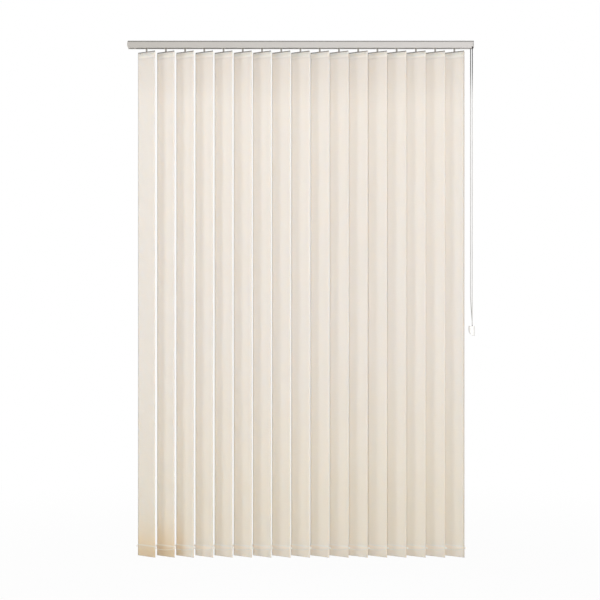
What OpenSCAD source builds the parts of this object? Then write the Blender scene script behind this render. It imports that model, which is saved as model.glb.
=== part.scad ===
// Vertical blind: fabric slats that hang on hooks from carriers in a channel rail.
// The hooks turn together from one tilt rod, and the carriers travel along the rail.
// One cord loop with a weight works it at the right-hand end.
// Millimetres, +X along the rail, +Y away from the viewer, +Z up.
// The origin is the middle of the ceiling plane that the brackets are screwed to.

/* [Blind] */
// Number of slats
slat_count = 17; // [5:1:17]
// Distance between the axes of neighbouring slats
slat_pitch = 80; // [76:1:84]
// Height from the top of the rail to the lower edge of the slats
drop = 2143; // [1400:1:2600]
// Distance from the last slat axis to the outer end of the rail
end_margin = 79; // [77:0.5:84]
// Turn of the slats out of the plane of the blind
rest_angle = 30; // [15:1:90]

/* [Rail] */
// Depth of the rail from front to back
rail_d = 26; // [25:0.5:30]
// Height of the rail
rail_h = 30.5; // [29.5:0.5:34]
// Wall thickness of the rail
rail_wall = 1.5; // [1.2:0.1:1.6]
// Radius of the two upper edges of the rail
rail_edge_r = 5; // [4:0.5:6]
// Width of the slot that the hooks pass through
slot_w = 14; // [10:0.5:15]
// Width of the mouth of the bracket channel
mouth_w = 12; // [10:0.5:13]
// Depth of the bracket channel
channel_h = 6.3; // [6:0.1:7]
// Thickness of the web under the bracket channel
web_t = 1.2; // [1:0.1:1.5]

/* [Brackets] */
// Distance between the two ceiling brackets
bracket_spacing = 1100; // [300:10:1200]
// Length of a bracket along the rail
bracket_l = 30; // [22:1:50]
// Gap that the brackets leave between the rail and the ceiling
bracket_t = 0.4; // [0.3:0.1:3]
// Diameter of the screw hole in a bracket
screw_hole_d = 4.5; // [3.5:0.1:5]
// Diameter of the recess for the screw head
screw_head_d = 8.4; // [7:0.1:9]

/* [End caps] */
// Thickness of the domed cap at the idle end
idle_cap_t = 3; // [2.5:0.5:6]
// Length of the idle block inside the rail
idle_block_l = 30; // [20:1:40]
// Length of the cord cover at the control end
cord_cover_l = 14; // [13.5:0.5:16]
// Wall thickness of the cord cover
cover_wall = 1.5; // [1.2:0.1:1.6]

/* [Tilt rod] */
// Diameter of the tilt rod over its three ribs
rod_d = 5.4; // [4.6:0.1:5.6]
// Diameter of the cord groove in the drum
drum_groove_d = 15.2; // [13:0.1:15.2]
// Diameter of the drum's rims
drum_rim_d = 21.8; // [21:0.2:22]

/* [Carrier] */
// Length of a carrier along the rail
carrier_l = 17; // [14:0.5:18]
// Thickness of the carrier over the tilt rod
carrier_roof = 2.2; // [1.5:0.1:2.4]
// Diameter of a carrier wheel
wheel_d = 7; // [6:0.1:7.4]
// Width of a carrier wheel
wheel_w = 2.8; // [2:0.1:3.1]
// Diameter of a wheel's axle stub
axle_d = 2.4; // [1.6:0.1:3]
// Width of the spacer strip between two carriers
strip_w = 6; // [4:0.5:10]
// Thickness of the spacer strip
strip_t = 0.25; // [0.2:0.05:0.3]

/* [Hook and hanger] */
// Distance from the underside of the rail to the top of the hanger
hook_drop = 13.3; // [12.5:0.1:20]
// Diameter of the hook's stem
stem_d = 5; // [4:0.1:6]
// Diameter of the collar that the hook hangs by
collar_d = 8; // [7:0.1:9]
// Width of the hook's fork
fork_w = 6; // [5:0.1:8]
// Thickness of the hanger
hanger_t = 1.2; // [0.8:0.1:1.4]
// Height of the hanger
hanger_h = 22; // [16:1:24]
// Height of the hanger that shows above the fabric
hanger_show = 4; // [1:0.5:6]
// Width of the hanger's tab
tab_w = 8; // [7:0.5:12]
// Height of the hanger's tab
tab_h = 7; // [6.5:0.1:9]

/* [Slat] */
// Width of a slat
slat_w = 89; // [86:1:95]
// Thickness of the fabric
fabric_t = 0.35; // [0.3:0.05:0.5]
// Height of the upper pocket below the top of the fabric
top_pocket_h = 26; // [24:1:36]
// Height of the lower pocket, up to its weld
bottom_pocket_h = 48; // [44:1:60]
// Height of the weld that closes a pocket
weld_h = 5; // [2:0.5:6]

/* [Weight and chain] */
// Thickness of a bottom weight
weight_t = 1.2; // [0.8:0.1:1.4]
// Distance of the chain pegs below the weld of the lower pocket
peg_drop = 9.5; // [9.5:0.5:20]
// Distance that a chain peg stands out from the edge of the slat
peg_reach = 4.5; // [4:0.1:6]
// Diameter of a chain peg
peg_d = 2.4; // [1.6:0.1:2.6]
// Diameter of the bottom chain
chain_d = 1.6; // [1:0.1:1.8]
// Sag of the chain between two slats
chain_sag = 6; // [3:0.5:10]

/* [Cord] */
// Diameter of the control cord
cord_d = 3.4; // [2.6:0.1:3.4]
// Width of the cord weight
cord_weight_w = 25; // [22:0.5:30]
// Height of the cord weight
cord_weight_h = 41; // [36:0.5:50]
// Thickness of the cord weight
cord_weight_t = 20; // [19:0.5:24]

/* [Hidden] */
$fn = 64;
// Clearances: seated faces, running fits, and pieces that pass each other
seat_gap = 0.2;
run_gap = 0.1;
pass_gap = 0.4;
// Small amount that a cut runs past the face it opens
over = 1;

// Levels inside the rail, from the top down
rail_z = -bracket_t;
rail_bottom_z = rail_z - rail_h;
flange_z = rail_bottom_z + rail_wall;
web_z = rail_z - channel_h - web_t;
strip_room = 3.4;
carrier_top_z = web_z - strip_room;
rod_bore_r = rod_d / 2 + 3 * run_gap;
rod_z = carrier_top_z - carrier_roof - rod_bore_r;
collar_t = 2;
collar_top_z = rod_z - rod_bore_r - 1;
wheel_gap = 0.3;
axle_z = flange_z + wheel_gap + wheel_d / 2;
shoulder_z = axle_z + wheel_d / 2 + pass_gap;
carrier_bottom_z = flange_z + 0.6;

// Levels below the rail
hanger_top_z = rail_bottom_z - hook_drop;
tab_top_z = hanger_top_z + tab_h;
tab_hole_z = hanger_top_z + tab_h * 0.6;
tab_hole_d = tab_h * 0.55;
fork_roof = 2;
fork_bottom_z = hanger_top_z + 2 * pass_gap;
slat_top_z = hanger_top_z - hanger_show;
slat_bottom_z = rail_z - drop;
peg_z = slat_bottom_z + bottom_pocket_h - peg_drop;

// Places along the rail
overall_l = (slat_count - 1) * slat_pitch + 2 * end_margin;
left_x = -overall_l / 2;
right_x = overall_l / 2;
rail_left_x = left_x + idle_cap_t;
rail_right_x = right_x - cord_cover_l;
control_block_x = axis_x(slat_count - 1) + carrier_l / 2 + 2 * pass_gap;

// Half widths across the rail, from its walls inwards: the wheels fit between the waist and the walls
inner_half = rail_d / 2 - rail_wall;
shoulder_half = inner_half - 0.7;
waist_half = inner_half - 2 * pass_gap - wheel_w - wheel_gap;

// Stacked carriers stand this far apart, and their sloping spacer strips nest by this rise
stack_pitch = carrier_l + 1;
strip_rise = strip_t + 0.15;

// Half thicknesses of a slat: the cavity of a pocket, its outside, and the single sheet
cavity_half = max(hanger_t, weight_t) / 2 + 0.05;
pocket_half = cavity_half + fabric_t;
sheet_half = fabric_t / 2;

// Route of the control cord: drum top, front run, weight, back run, drum top.
// Its points are measured from the outer end of the rail, on the axis of the tilt rod.
cord_points = [
    [-7.3, -0.7, 9.4], [-6.8, -4.7, 8.2], [-6, -8.2, 4.7], [-5.5, -9.5, 0],
    [-5.5, -9.5, -6.5], [-5.5, -9.5, -17.5], [-5.5, -9.5, -43.5], [-5.5, -9.5, -103.5],
    [-5.5, -9.4, -223.5], [-5.5, -8.9, -463.5], [-5.5, -8.3, -703.5], [-5.5, -7.6, -943.5],
    [-5.6, -7, -1103.5], [-5.8, -6.8, -1161.5], [-5.8, -6.8, -1173.5], [-5.8, -6.8, -1183.5],
    [-5.65, -5.9, -1186.9], [-5.2, -3.4, -1189.5], [-4.65, 0, -1190.4], [-4.1, 3.4, -1189.5],
    [-3.65, 5.9, -1186.9], [-3.5, 6.8, -1183.5], [-3.5, 6.8, -1173.5], [-3.6, 6.8, -1157],
    [-5, 6.8, -1133], [-8.6, 6.9, -1083], [-9.9, 7.1, -1050], [-10.1, 7.6, -943.5],
    [-10.1, 8.3, -703.5], [-10.1, 8.9, -463.5], [-10.1, 9.4, -223.5], [-10.1, 9.5, -103.5],
    [-10.1, 9.5, -43.5], [-10.1, 9.5, -17.5], [-10.1, 9.5, -6.5], [-10.1, 9.5, 0],
    [-9.6, 8.2, 4.7], [-8.8, 4.7, 8.2], [-8.3, 0.7, 9.4]];
cord_route = [for (point = cord_points) point + [right_x, 0, rod_z]];
// Where the two runs of the cord leave the cover, in X and Y
front_run = [right_x - 5.5, -9.5];
back_run = [right_x - 10.1, 9.5];
// Turn of the cord in its weight: centre, radius, and direction of the front run from it
cord_turn = [right_x - 4.65, 0, rod_z - 1183.5];
cord_turn_r = 6.9;
cord_turn_angle = -99.6;
// Middle of the cord weight along the rail, and the level of its top
cord_weight_x = right_x - 7.2;
cord_weight_top_z = cord_turn[2] + 15;

function two_digits(n) = n < 10 ? str("0", n) : str(n);
function axis_x(i) = (i - (slat_count - 1) / 2) * slat_pitch;

// A profile drawn in Y and Z, carried along X
module along_x(x0, x1) {
    translate([x0, 0, 0]) rotate([90, 0, 90]) linear_extrude(x1 - x0) children();
}

// An outline drawn in X and Z, given a thickness across Y
module upright_plate(thickness) {
    rotate([90, 0, 0]) linear_extrude(thickness, center = true) children();
}

// A box between two corners
module block(low, high) {
    translate(low) cube(high - low);
}

// A round bar along X
module bar_x(x0, x1, r) {
    translate([x0, 0, 0]) rotate([0, 90, 0]) cylinder(r = r, h = x1 - x0);
}

// A rectangle between two corners
module rectangle(low, high) {
    translate(low) square(high - low);
}

// Puts a piece on the axis of slat i, turned as the slats stand
module on_axis(i) {
    translate([axis_x(i), 0, 0]) rotate(-rest_angle) children();
}

// Outside of the rail in Y and Z, or a line inset from it
module rail_outline(inset = 0) {
    half = rail_d / 2 - inset;
    top = rail_z - inset;
    bottom = rail_bottom_z + inset;
    r = rail_edge_r - inset;
    rectangle([-half, bottom], [half, top - r]);
    rectangle([-half + r, bottom], [half - r, top]);
    for (side = [-1, 1]) translate([side * (half - r), top - r]) circle(r);
}

// Extruded rail: bracket channel on top, a web, and a slot between two flanges below
module headrail() {
    color("silver") along_x(rail_left_x, rail_right_x) difference() {
        rail_outline();
        difference() {
            rail_outline(rail_wall);
            rectangle([-rail_d, web_z], [rail_d, web_z + web_t]);
        }
        rectangle([-mouth_w / 2, rail_z - channel_h], [mouth_w / 2, rail_z + over]);
        rectangle([-slot_w / 2, rail_bottom_z - over], [slot_w / 2, flange_z + over]);
    }
}

// Ceiling bracket: a block in the mouth of the rail, with wings that hold the rail by its two lips
module bracket() {
    neck_half = mouth_w / 2 - pass_gap;
    wing_half = rail_d / 2 - rail_edge_r + 0.6;
    wing_top = rail_z - rail_wall - seat_gap;
    wing_bottom = wing_top - 1.8;
    head_top = rail_z - 1.2;
    difference() {
        along_x(-bracket_l / 2, bracket_l / 2) {
            rectangle([-neck_half, wing_bottom], [neck_half, 0]);
            rectangle([-wing_half, wing_bottom], [wing_half, wing_top]);
        }
        translate([0, 0, wing_bottom - over]) cylinder(d = screw_hole_d, h = 2 * over - wing_bottom);
        translate([0, 0, wing_bottom - over]) cylinder(d = screw_head_d, h = head_top - wing_bottom + over);
    }
}

// The two ceiling brackets, one towards each end of the rail
module ceiling_brackets() {
    color("gainsboro") for (side = [-1, 1]) translate([side * bracket_spacing / 2, 0, 0]) bracket();
}

// Block that fills the lower part of the rail at either end, with a bearing for the tilt rod
module end_block(x0, x1) {
    half = inner_half - seat_gap;
    difference() {
        block([x0, -half, flange_z], [x1, half, carrier_top_z]);
        translate([0, 0, rod_z]) bar_x(x0 - over, x1 + over, rod_d / 2 + run_gap);
    }
}

// Tongue of an end block that closes the slot flush with the rail's underside
module slot_tongue(x0, x1) {
    half = slot_w / 2 - seat_gap;
    block([x0, -half, rail_bottom_z], [x1, half, flange_z]);
}

// Idle end: a domed cap with its block, and a lug that locks the block in the slot
module idle_end_cap() {
    dome_r = (rail_h * rail_h / 4 + idle_cap_t * idle_cap_t) / (2 * idle_cap_t);
    tongue_l = 9;
    lug_l = 5;
    block_end = rail_left_x + idle_block_l;
    color("lightgray") {
        intersection() {
            along_x(left_x, rail_left_x) rail_outline();
            translate([left_x + dome_r, 0, rail_z - rail_h / 2]) rotate([90, 0, 0])
                cylinder(r = dome_r, h = 2 * rail_d, center = true, $fn = 128);
        }
        end_block(rail_left_x, block_end);
        slot_tongue(rail_left_x, rail_left_x + tongue_l);
        slot_tongue(block_end - lug_l, block_end);
    }
}

// Cover round the cord drum, with a cord outlet below for each run and a notch in front
module cord_cover() {
    outlet_r = cord_d / 2 + 0.7;
    notch_h = 6;
    difference() {
        along_x(rail_right_x, right_x) rail_outline();
        along_x(rail_right_x - over, right_x - cover_wall) rail_outline(cover_wall);
        for (run = [front_run, back_run]) translate([run[0], run[1], rail_bottom_z - over])
            cylinder(r = outlet_r, h = cover_wall + 2 * over);
        block([front_run[0] - outlet_r, -rail_d / 2 - over, rail_bottom_z - over],
              [front_run[0] + outlet_r, front_run[1], rail_bottom_z + notch_h]);
    }
}

// Control end: a block in the rail with its lug and tongue, and the cover of the cord drum
module control_end_cap() {
    lug_l = 2.8;
    tongue_setback = 13;
    color("lightgray") {
        end_block(control_block_x, rail_right_x);
        slot_tongue(control_block_x, control_block_x + lug_l);
        slot_tongue(control_block_x + tongue_setback, rail_right_x - seat_gap);
        cord_cover();
    }
}

// Section of the tilt rod: a core with three ribs, or the same with a clearance
module rod_section(gap = 0) {
    rib_r = rod_d / 6;
    core_r = rod_d / 2 - rib_r;
    circle(core_r + gap);
    for (turn = [0 : 120 : 240]) rotate(turn) translate([core_r, 0]) circle(rib_r + gap);
}

// Cord drum: a grooved wheel, keyed to the end of the tilt rod
module cord_drum(x0, x1) {
    rim = 1.2;
    difference() {
        union() {
            bar_x(x0, x1, drum_groove_d / 2 - 0.3);
            bar_x(x0, x0 + rim, drum_rim_d / 2);
            bar_x(x1 - rim, x1, drum_rim_d / 2);
        }
        along_x(x0 - over, x1 + over) rod_section(run_gap / 2);
    }
}

// Tilt rod: runs the length of the rail, from the idle block to the drum
module tilt_rod() {
    drum_end = right_x - cover_wall - 2 * pass_gap;
    color("darkgray") translate([0, 0, rod_z]) {
        along_x(rail_left_x + 2, drum_end) rod_section();
        cord_drum(rail_right_x + 2 * pass_gap, drum_end);
    }
}

// Case of a carrier: shoulders over the wheels, a waist between them, and its bores
module carrier_case() {
    half_l = carrier_l / 2;
    bevel = 1.5;
    side = [[waist_half, carrier_bottom_z], [waist_half, shoulder_z], [shoulder_half, shoulder_z],
            [shoulder_half, carrier_top_z - bevel], [shoulder_half - bevel, carrier_top_z]];
    other = [for (k = [len(side) - 1 : -1 : 0]) [-side[k][0], side[k][1]]];
    difference() {
        union() {
            along_x(-half_l, half_l) polygon(concat(side, other));
            for (turn = [0, 180]) rotate(turn) translate([0, waist_half, axle_z]) rotate([-90, 0, 0])
                cylinder(d = axle_d, h = wheel_w + wheel_gap + pass_gap);
        }
        translate([0, 0, rod_z]) bar_x(-half_l - over, half_l + over, rod_bore_r);
        translate([0, 0, carrier_bottom_z - over])
            cylinder(d = stem_d + 2 * run_gap, h = collar_top_z - carrier_bottom_z);
        translate([0, 0, collar_top_z - collar_t - run_gap])
            cylinder(d = collar_d + 2 * pass_gap, h = collar_t + 3 * run_gap);
    }
}

// Wheel of a carrier, on its axle stub beside the waist
module carrier_wheel() {
    translate([0, waist_half + wheel_gap, axle_z]) rotate([-90, 0, 0]) difference() {
        cylinder(d = wheel_d, h = wheel_w);
        translate([0, 0, -over]) cylinder(d = axle_d + 2 * run_gap, h = wheel_w + 2 * over);
    }
}

// Spacer strip: rises from the roof towards the next carrier, so that stacked strips nest
module spacer_strip() {
    slope = atan(strip_rise / stack_pitch);
    tail = 3;
    translate([0, 0, carrier_top_z]) rotate([0, -slope, 0])
        block([-tail, -strip_w / 2, 0], [slat_pitch - 2, strip_w / 2, strip_t]);
}

// Carrier with its two wheels and the strip that spaces the next one, which the last lacks
module carrier(i) {
    color("ivory") translate([axis_x(i), 0, 0]) {
        carrier_case();
        if (i < slat_count - 1) spacer_strip();
        for (turn = [0, 180]) rotate(turn) carrier_wheel();
    }
}

// Hook: a stem with a collar in the carrier, and a fork with a pin through the hanger's tab
module hook() {
    fork_top = tab_top_z + pass_gap + fork_roof;
    slot_half = hanger_t / 2 + seat_gap;
    fork_half = slot_half + 1.3;
    translate([0, 0, collar_top_z - collar_t]) cylinder(d = collar_d, h = collar_t);
    translate([0, 0, fork_top]) cylinder(d = stem_d, h = collar_top_z - collar_t - fork_top);
    difference() {
        block([-fork_w / 2, -fork_half, fork_bottom_z], [fork_w / 2, fork_half, fork_top]);
        block([-fork_w, -slot_half, fork_bottom_z - over], [fork_w, slot_half, tab_top_z + pass_gap]);
    }
    translate([0, 0, tab_hole_z]) rotate([90, 0, 0])
        cylinder(d = tab_hole_d - 2 * seat_gap, h = 2 * fork_half - pass_gap, center = true);
}

// Hanger: a plate in the slat's upper pocket, with a tab that the hook's fork holds
module hanger() {
    half = slat_w / 2 - 1;
    foot = tab_w / 2;
    head = tab_w / 2 - 0.8;
    upright_plate(hanger_t) difference() {
        union() {
            rectangle([-half, hanger_top_z - hanger_h], [half, hanger_top_z]);
            polygon([[-foot, hanger_top_z], [foot, hanger_top_z], [head, tab_top_z], [-head, tab_top_z]]);
        }
        translate([0, tab_hole_z]) circle(d = tab_hole_d);
    }
}

// Bottom weight: a plate in the lower pocket, with a tongue at each end that a chain peg hangs from
module bottom_weight() {
    half = slat_w / 2 - 2;
    peg_x = slat_w / 2 + peg_reach;
    peg_foot = 2.5;
    bottom = slat_bottom_z + fabric_t + seat_gap;
    top = slat_bottom_z + bottom_pocket_h - weld_h - 2 * pass_gap;
    upright_plate(weight_t) {
        rectangle([-half, bottom], [half, top]);
        rectangle([-peg_x, peg_z + chain_d / 2 + 2 * seat_gap], [peg_x, top]);
    }
    for (side = [-1, 1]) translate([side * peg_x, 0, peg_z - peg_foot])
        cylinder(d = peg_d, h = top - peg_z + peg_foot);
}

// Fittings of one slat: its hook, its hanger and its bottom weight
module slat_fittings(i) {
    on_axis(i) {
        color("whitesmoke") hook();
        color("gainsboro") hanger();
        color("white") bottom_weight();
    }
}

// Slat: one strip of fabric, doubled into a pocket at each end
module slat(i) {
    top_seam = slat_top_z - top_pocket_h;
    bottom_seam = slat_bottom_z + bottom_pocket_h;
    fold = 0.5;
    edge = [[pocket_half - fold, slat_bottom_z], [pocket_half, slat_bottom_z + fold],
            [pocket_half, bottom_seam - weld_h], [sheet_half, bottom_seam], [sheet_half, top_seam],
            [pocket_half, top_seam + weld_h], [pocket_half, slat_top_z]];
    other = [for (k = [len(edge) - 1 : -1 : 0]) [-edge[k][0], edge[k][1]]];
    color("antiquewhite") on_axis(i) along_x(-slat_w / 2, slat_w / 2) difference() {
        polygon(concat(edge, other));
        rectangle([-cavity_half, slat_bottom_z + fabric_t], [cavity_half, bottom_seam - weld_h]);
        rectangle([-cavity_half, top_seam + weld_h], [cavity_half, slat_top_z + over]);
    }
}

// One span of the bottom chain: an arc that sags between two pegs
module chain_span() {
    chord = slat_pitch - peg_d - 0.6;
    r = (chord * chord / 4 + chain_sag * chain_sag) / (2 * chain_sag);
    half_angle = asin(chord / 2 / r);
    translate([slat_pitch / 2, 0, r - chain_sag]) rotate([90, 0, 0]) rotate(-90 - half_angle)
        rotate_extrude(angle = 2 * half_angle, $fn = 256) translate([r, 0]) circle(d = chain_d);
}

// Bottom chain: one span between the pegs of each pair of slats, in front or at the rear
module bottom_chain(side) {
    reach = slat_w / 2 + peg_reach;
    color("white") for (i = [0 : slat_count - 2])
        translate([axis_x(i) + side * reach * cos(rest_angle), -side * reach * sin(rest_angle), peg_z])
            chain_span();
}

// Rings of a tube that follows a route: one ring at each of the route's points
function ring_direction(route, i) =
    let (a = route[max(i - 1, 0)], b = route[min(i + 1, len(route) - 1)]) (b - a) / norm(b - a);
function ring(route, i, r, sides) =
    let (t = ring_direction(route, i), c = cross(t, [1, 0, 0]), n = c / norm(c), b = cross(t, n))
    [for (k = [0 : sides - 1]) route[i] + r * (cos(360 * k / sides) * n + sin(360 * k / sides) * b)];

// Closed tube along a route
module route_tube(route, diameter, sides) {
    count = len(route);
    points = [for (i = [0 : count - 1]) each ring(route, i, diameter / 2, sides)];
    walls = [for (i = [0 : count - 2], k = [0 : sides - 1])
        [i * sides + k, (i + 1) * sides + k, (i + 1) * sides + (k + 1) % sides, i * sides + (k + 1) % sides]];
    first = [for (k = [0 : sides - 1]) k];
    last = [for (k = [sides - 1 : -1 : 0]) (count - 1) * sides + k];
    polyhedron(points, concat(walls, [first, last]));
}

// Control cord: from the drum down the front run, round the weight and up the back run
module control_cord() {
    color("lightgray") route_tube(cord_route, cord_d, 8);
}

// Outline of the cord weight from above: a rectangle with round corners
module weight_plan() {
    corner_r = 7;
    x = cord_weight_w / 2 - corner_r;
    y = cord_weight_t / 2 - corner_r;
    rectangle([-x - corner_r, -y], [x + corner_r, y]);
    rectangle([-x, -y - corner_r], [x, y + corner_r]);
    for (sx = [-1, 1], sy = [-1, 1]) translate([sx * x, sy * y]) circle(corner_r);
}

// Cord weight: a drop with one straight side, hung in the turn of the cord
module cord_weight() {
    half = cord_weight_w / 2;
    side_h = cord_weight_h / 3;
    curve_r = 30;
    channel_r = cord_d / 2 + 0.3;
    color("white") difference() {
        translate([cord_weight_x, 0, cord_weight_top_z]) intersection() {
            upright_plate(cord_weight_t + 2 * over) intersection() {
                rectangle([-half, -cord_weight_h], [half, 0]);
                union() {
                    rectangle([-half, -side_h], [half, 0]);
                    translate([curve_r - half, -side_h]) circle(curve_r);
                }
            }
            translate([0, 0, -cord_weight_h - over]) linear_extrude(cord_weight_h + 2 * over) weight_plan();
        }
        translate(cord_turn) rotate(cord_turn_angle) {
            for (side = [-1, 1]) translate([side * cord_turn_r, 0, 0])
                cylinder(r = channel_r, h = cord_weight_top_z - cord_turn[2] + over);
            rotate([90, 0, 0]) rotate(180) rotate_extrude(angle = 180)
                translate([cord_turn_r, 0]) circle(channel_r);
        }
    }
}

headrail();
ceiling_brackets();
idle_end_cap();
control_end_cap();
tilt_rod();
control_cord();
cord_weight();
bottom_chain(1);  // front_chain
bottom_chain(-1);  // rear_chain
for (i = [0 : slat_count - 1]) {
    carrier(i);
    slat_fittings(i);
    slat(i);
}
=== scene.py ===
# %% [markdown]
# # A vertical blind, dressed in Blender
# The blind is a light grey rail with seventeen cream fabric slats under it, a cord loop at the
# right-hand end and two bead chains along the bottom. The rigid pieces come ready made from the
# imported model, in metres and in place. This lesson adds what is soft, and a finish to every piece.

# %% Load the frame
import math

import bpy
import numpy as np
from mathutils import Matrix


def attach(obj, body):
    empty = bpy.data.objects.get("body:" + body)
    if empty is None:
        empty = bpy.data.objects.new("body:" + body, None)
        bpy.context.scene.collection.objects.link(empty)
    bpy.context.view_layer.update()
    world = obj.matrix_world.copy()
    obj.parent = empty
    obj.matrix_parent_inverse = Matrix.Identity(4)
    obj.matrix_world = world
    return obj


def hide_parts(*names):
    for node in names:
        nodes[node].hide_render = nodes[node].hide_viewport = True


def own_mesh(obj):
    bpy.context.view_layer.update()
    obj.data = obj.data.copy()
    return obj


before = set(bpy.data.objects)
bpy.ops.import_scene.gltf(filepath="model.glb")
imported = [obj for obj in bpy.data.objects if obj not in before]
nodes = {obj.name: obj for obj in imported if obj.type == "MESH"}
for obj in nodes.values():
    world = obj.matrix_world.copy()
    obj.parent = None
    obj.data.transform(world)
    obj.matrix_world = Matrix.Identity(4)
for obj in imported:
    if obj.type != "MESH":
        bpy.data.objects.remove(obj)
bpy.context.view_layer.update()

# %% [markdown]
# ## The camera
# The photograph looks straight at the blind from about its middle height: the rail and the slat ends
# show hardly any of their tops or undersides. The lens could be guessed by eye. Here it follows from
# two measures in the picture, the width of the rail and the difference between the near and the far
# ends of a slat, which only a camera at this distance gives.

# %% Place the camera
scene = bpy.context.scene
scene.view_settings.view_transform = "Standard"
camera_data = bpy.data.cameras.new("camera")
camera_data.lens = 67.8
camera_data.sensor_width = 36
camera = bpy.data.objects.new("camera", camera_data)
camera.location = (-0.002, -4.7, -1.077)
camera.rotation_euler = (math.radians(90), 0, 0)
scene.collection.objects.link(camera)
scene.camera = camera
print("camera at", tuple(round(v, 3) for v in camera.location), "lens", camera_data.lens)

# %% [markdown]
# ## Surfaces from arrays
# Cloth, cord and chain are all grids: rows along the piece, columns across or around it. One helper
# turns such an array into a mesh and gives it a UV map in real metres, so that a weave has the same
# size on every piece. A tube closes around its columns and gets a lid at each end, and a ring closes
# both ways.

# %% Grid helper
def grid_piece(name, points, along, across, tube=False, ring=False):
    """Mesh of an array of points, indexed by copy, row and column.

    Each quad joins two neighbouring rows and columns. In a tube the last column joins the first, and
    in a ring the last row does so too.
    The UV of a corner is (distance along its row, distance across its column), in metres.
    """
    copies, rows, columns = points.shape[:3]
    row = np.arange(rows if ring else rows - 1)[:, None]
    column = np.arange(columns if tube else columns - 1)[None, :]
    below = (row + 1) % rows
    after = (column + 1) % columns
    quads = np.stack([row * columns + column, row * columns + after,
                      below * columns + after, below * columns + column], -1).reshape(-1, 4)
    start = np.arange(copies)[:, None, None] * rows * columns
    faces = (start + quads[None]).reshape(-1, 4).tolist()
    spread = np.broadcast_arrays(row, column)
    u = np.stack([along[spread[0]], along[spread[0]], along[spread[0] + 1], along[spread[0] + 1]], -1)
    v = np.stack([across[spread[1]], across[spread[1] + 1], across[spread[1] + 1], across[spread[1]]], -1)
    uv = np.tile(np.stack([u, v], -1).reshape(-1, 2), (copies, 1))
    if tube and not ring:
        rim = np.arange(columns)
        lids = np.stack([rim[::-1], rim + (rows - 1) * columns])
        faces += (start + lids[None]).reshape(-1, columns).tolist()
        uv = np.vstack([uv, np.zeros((copies * 2 * columns, 2))])
    mesh = bpy.data.meshes.new(name)
    mesh.from_pydata(points.reshape(-1, 3).tolist(), [], faces)
    mesh.uv_layers.new(name="measure").data.foreach_set("uv", uv.ravel())
    mesh.shade_smooth()
    mesh.update()
    piece = bpy.data.objects.new(name, mesh)
    scene.collection.objects.link(piece)
    return piece


# %% Tube helper
def tube_points(path, radius, sides, reference):
    """Rings round a path: the point at angle a on ring i is path i plus radius i times
    (cos a times the first normal plus sin a times the second), both square to the path. The first
    normal is also square to a reference direction, which the path never takes."""
    tangent = np.gradient(path, axis=-2)
    tangent /= np.linalg.norm(tangent, axis=-1, keepdims=True)
    sideways = np.cross(tangent, reference)
    sideways /= np.linalg.norm(sideways, axis=-1, keepdims=True)
    other = np.cross(tangent, sideways)
    angle = np.arange(sides) * 2 * math.pi / sides
    turn = (np.cos(angle)[:, None] * sideways[..., None, :] + np.sin(angle)[:, None] * other[..., None, :])
    return path[..., None, :] + radius[..., None, None] * turn


ALONG_RAIL, TO_WINDOW = (1.0, 0.0, 0.0), (0.0, 1.0, 0.0)
print("grid and tube helpers ready")

# %% [markdown]
# ## The control cord
# One thin braided cord goes over a drum at the end of the rail, down in front, round a small weight and
# up again at the back. It could be a curve with a round bevel. A mesh tube is used, because its UV map
# carries the braid along the cord. The route is the one that the solid cord follows, and the line
# between its points is a smooth cubic, so that nothing kinks at the drum or in the weight.

# %% Route of the cord
CORD_D = 0.0034
CORD_FROM = np.array([719.0, 0.0, -16.5])
CORD_ROUTE = (CORD_FROM + np.array([
    [-7.3, -0.7, 9.4], [-6.8, -4.7, 8.2], [-6, -8.2, 4.7], [-5.5, -9.5, 0],
    [-5.5, -9.5, -6.5], [-5.5, -9.5, -17.5], [-5.5, -9.5, -43.5], [-5.5, -9.5, -103.5],
    [-5.5, -9.4, -223.5], [-5.5, -8.9, -463.5], [-5.5, -8.3, -703.5], [-5.5, -7.6, -943.5],
    [-5.6, -7, -1103.5], [-5.8, -6.8, -1161.5], [-5.8, -6.8, -1173.5], [-5.8, -6.8, -1183.5],
    [-5.65, -5.9, -1186.9], [-5.2, -3.4, -1189.5], [-4.65, 0, -1190.4], [-4.1, 3.4, -1189.5],
    [-3.65, 5.9, -1186.9], [-3.5, 6.8, -1183.5], [-3.5, 6.8, -1173.5], [-3.6, 6.8, -1157],
    [-5, 6.8, -1133], [-8.6, 6.9, -1083], [-9.9, 7.1, -1050], [-10.1, 7.6, -943.5],
    [-10.1, 8.3, -703.5], [-10.1, 8.9, -463.5], [-10.1, 9.4, -223.5], [-10.1, 9.5, -103.5],
    [-10.1, 9.5, -43.5], [-10.1, 9.5, -17.5], [-10.1, 9.5, -6.5], [-10.1, 9.5, 0],
    [-9.6, 8.2, 4.7], [-8.8, 4.7, 8.2], [-8.3, 0.7, 9.4]])) / 1000


def smooth_path(route, step):
    """Cubic between the route's points. The slope at a point is the mean of the slopes of its two
    chords, each weighted by the length of the other, so long and short chords meet without a bump."""
    chord = np.linalg.norm(np.diff(route, axis=0), axis=1)
    slope = np.diff(route, axis=0) / chord[:, None]
    inner = (chord[1:, None] * slope[:-1] + chord[:-1, None] * slope[1:]) / (chord[1:] + chord[:-1])[:, None]
    slope = np.vstack([slope[:1], inner, slope[-1:]])
    knots = np.concatenate([[0], np.cumsum(chord)])
    place = np.unique(np.concatenate([np.arange(0, knots[-1], step), knots]))
    k = np.clip(np.searchsorted(knots, place, side="right") - 1, 0, len(chord) - 1)
    h = chord[k][:, None]
    t = (place - knots[k])[:, None] / h
    return ((2 * t**3 - 3 * t**2 + 1) * route[k] + (t**3 - 2 * t**2 + t) * h * slope[k]
            + (3 * t**2 - 2 * t**3) * route[k + 1] + (t**3 - t**2) * h * slope[k + 1])


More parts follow.
